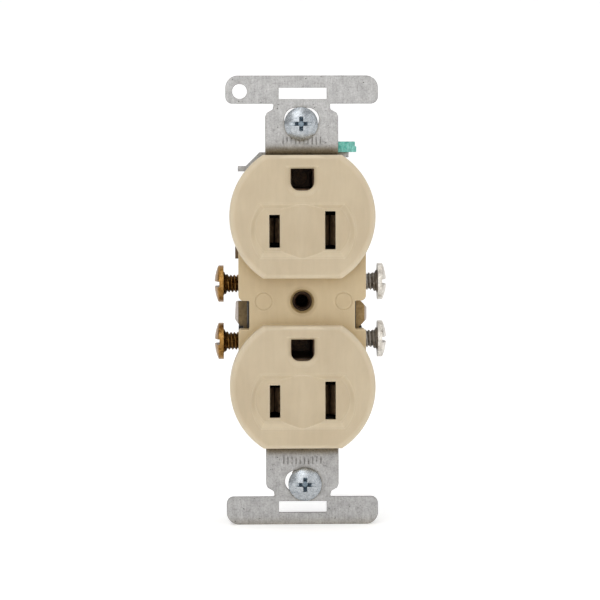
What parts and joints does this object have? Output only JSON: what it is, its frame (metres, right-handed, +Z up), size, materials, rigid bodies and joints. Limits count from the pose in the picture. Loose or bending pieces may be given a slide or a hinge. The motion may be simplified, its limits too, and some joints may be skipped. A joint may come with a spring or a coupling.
{
  "type": "duplex wall outlet",
  "caption": "Duplex wall outlet with two grounded faces on a steel mounting strap, side terminal screws, a ground screw and push-in wire holes at the back.",
  "frame": {"origin": "centre of the device on the wall's surface, which is the rear plane of the strap's plaster ears, on the axis of the centre screw hole", "axes": "+X to the right seen from the room, +Y into the wall box, +Z up with the ground holes above the blade slots"},
  "size_m": [0.04, 0.0288, 0.1032],
  "materials": {
    "ivory_plastic": "satin",
    "dark_base": "satin",
    "galvanised_steel": "galvanised",
    "dark_eyelet": "satin",
    "contact_brass": "satin",
    "brass_screw": "satin",
    "plated_steel": "zinc plated",
    "spring_steel": "bright",
    "green_screw": "satin",
    "fibre": "matte"
  },
  "bodies": {
    "device": {"front_cover": "ivory_plastic", "rear_housing": "dark_base", "mounting_strap": "galvanised_steel", "threaded_eyelet": "dark_eyelet", "hot_contact_strip": "contact_brass", "neutral_contact_strip": "contact_brass", "upper_ground_contact": "contact_brass", "lower_ground_contact": "contact_brass", "ground_rivets": "plated_steel", "hot_upper_push_in_clip": "spring_steel", "hot_lower_push_in_clip": "spring_steel", "neutral_upper_push_in_clip": "spring_steel", "neutral_lower_push_in_clip": "spring_steel"},
    "hot_upper_screw": {"hot_upper_terminal_screw": "brass_screw"},
    "hot_lower_screw": {"hot_lower_terminal_screw": "brass_screw"},
    "neutral_upper_screw": {"neutral_upper_terminal_screw": "plated_steel"},
    "neutral_lower_screw": {"neutral_lower_terminal_screw": "plated_steel"},
    "green_screw": {"ground_screw": "green_screw"},
    "top_retainer": {"top_screw_retainer": "fibre"},
    "bottom_retainer": {"bottom_screw_retainer": "fibre"},
    "top_screw": {"top_box_screw": "plated_steel"},
    "bottom_screw": {"bottom_box_screw": "plated_steel"}
  },
  "joints": [
    {"name": "hot_upper_clamp", "type": "slide", "parent": "device", "child": "hot_upper_screw", "axis": [1, 0, 0], "range_m": [0, 0.0033]},
    {"name": "hot_lower_clamp", "type": "slide", "parent": "device", "child": "hot_lower_screw", "axis": [1, 0, 0], "range_m": [0, 0.0033]},
    {"name": "neutral_upper_clamp", "type": "slide", "parent": "device", "child": "neutral_upper_screw", "axis": [-1, 0, 0], "range_m": [0, 0.0033]},
    {"name": "neutral_lower_clamp", "type": "slide", "parent": "device", "child": "neutral_lower_screw", "axis": [-1, 0, 0], "range_m": [0, 0.0033]},
    {"name": "ground_screw_back_out", "type": "slide", "parent": "device", "child": "green_screw", "axis": [0, 0, 1], "range_m": [0, 0.0035]},
    {"name": "top_float", "type": "slide", "parent": "device", "child": "top_retainer", "axis": [1, 0, 0], "range_m": [-0.0015, 0.00175]},
    {"name": "bottom_float", "type": "slide", "parent": "device", "child": "bottom_retainer", "axis": [1, 0, 0], "range_m": [-0.0029, 0.0017]},
    {"name": "top_screw_turn", "type": "hinge", "parent": "top_retainer", "child": "top_screw", "pos_m": [-0.00015, 0, 0.04057], "axis": [0, 1, 0], "continuous": true},
    {"name": "bottom_screw_turn", "type": "hinge", "parent": "bottom_retainer", "child": "bottom_screw", "pos_m": [0.0006, 0, -0.04227], "axis": [0, 1, 0], "continuous": true}
  ]
}
